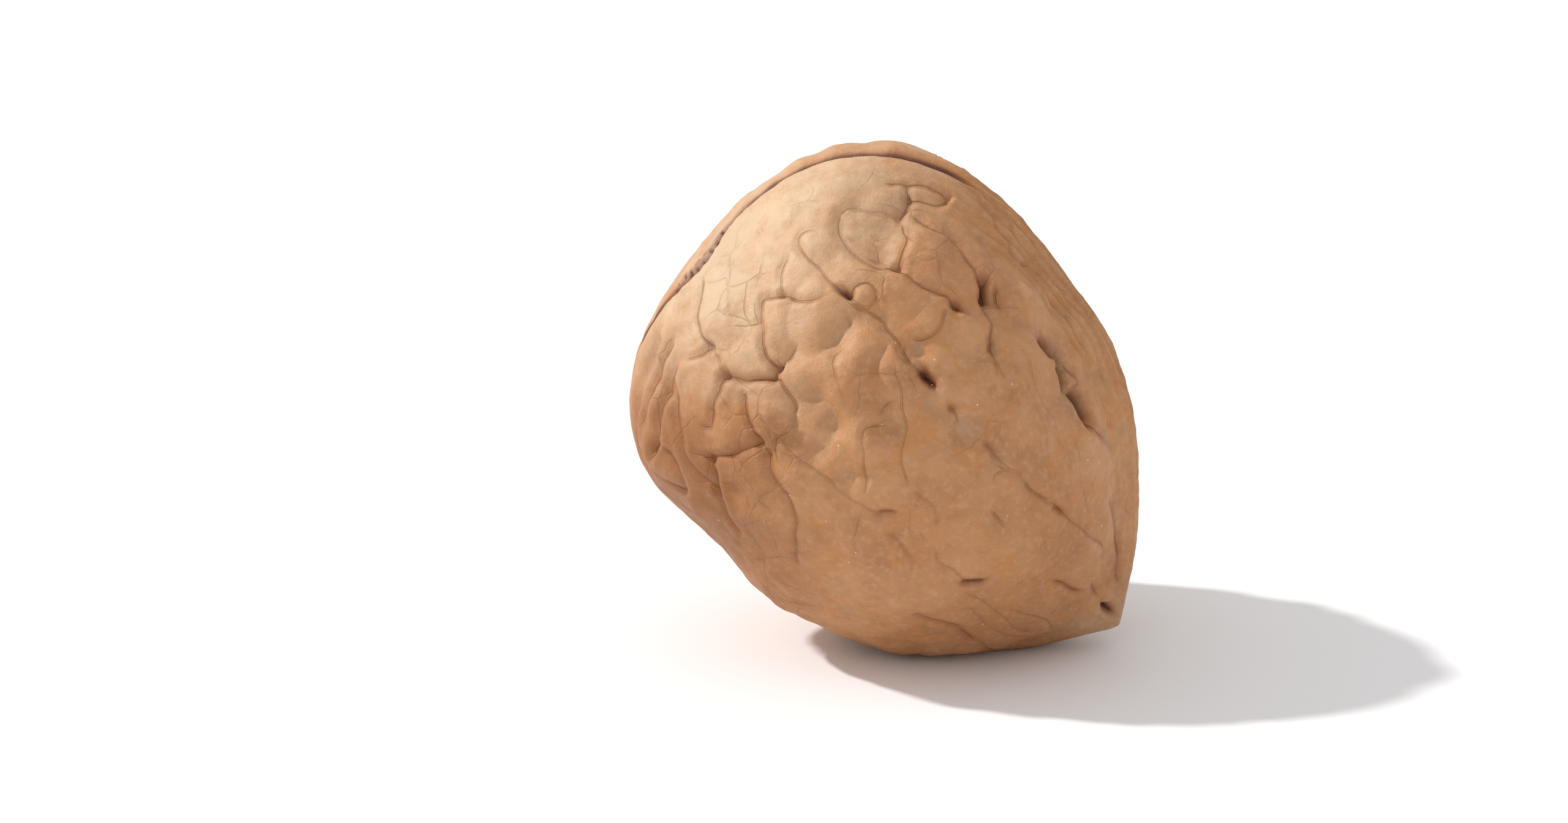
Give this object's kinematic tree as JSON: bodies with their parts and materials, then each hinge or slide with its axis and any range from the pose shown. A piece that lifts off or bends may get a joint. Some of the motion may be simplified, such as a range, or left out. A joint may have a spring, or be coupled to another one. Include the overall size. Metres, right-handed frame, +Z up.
{
  "type": "walnut",
  "caption": "Whole walnut in its wrinkled shell, lying tilted with its pointed tip low, with a raised seam that is cracked open over the base.",
  "frame": {"origin": "centre of the base of the nut's box, on the surface that it lies on", "axes": "+Z up; -Y out of the front cheek, across the nut's thin way; the pointed tip is low at +X and the cracked base is high at -X"},
  "size_m": [0.0362, 0.0314, 0.0366],
  "materials": {
    "shell": "matte, slightly waxy nutshell with a pale bloom near the base"
  },
  "bodies": {
    "root": {"walnut_shell": "shell"}
  },
  "joints": []
}
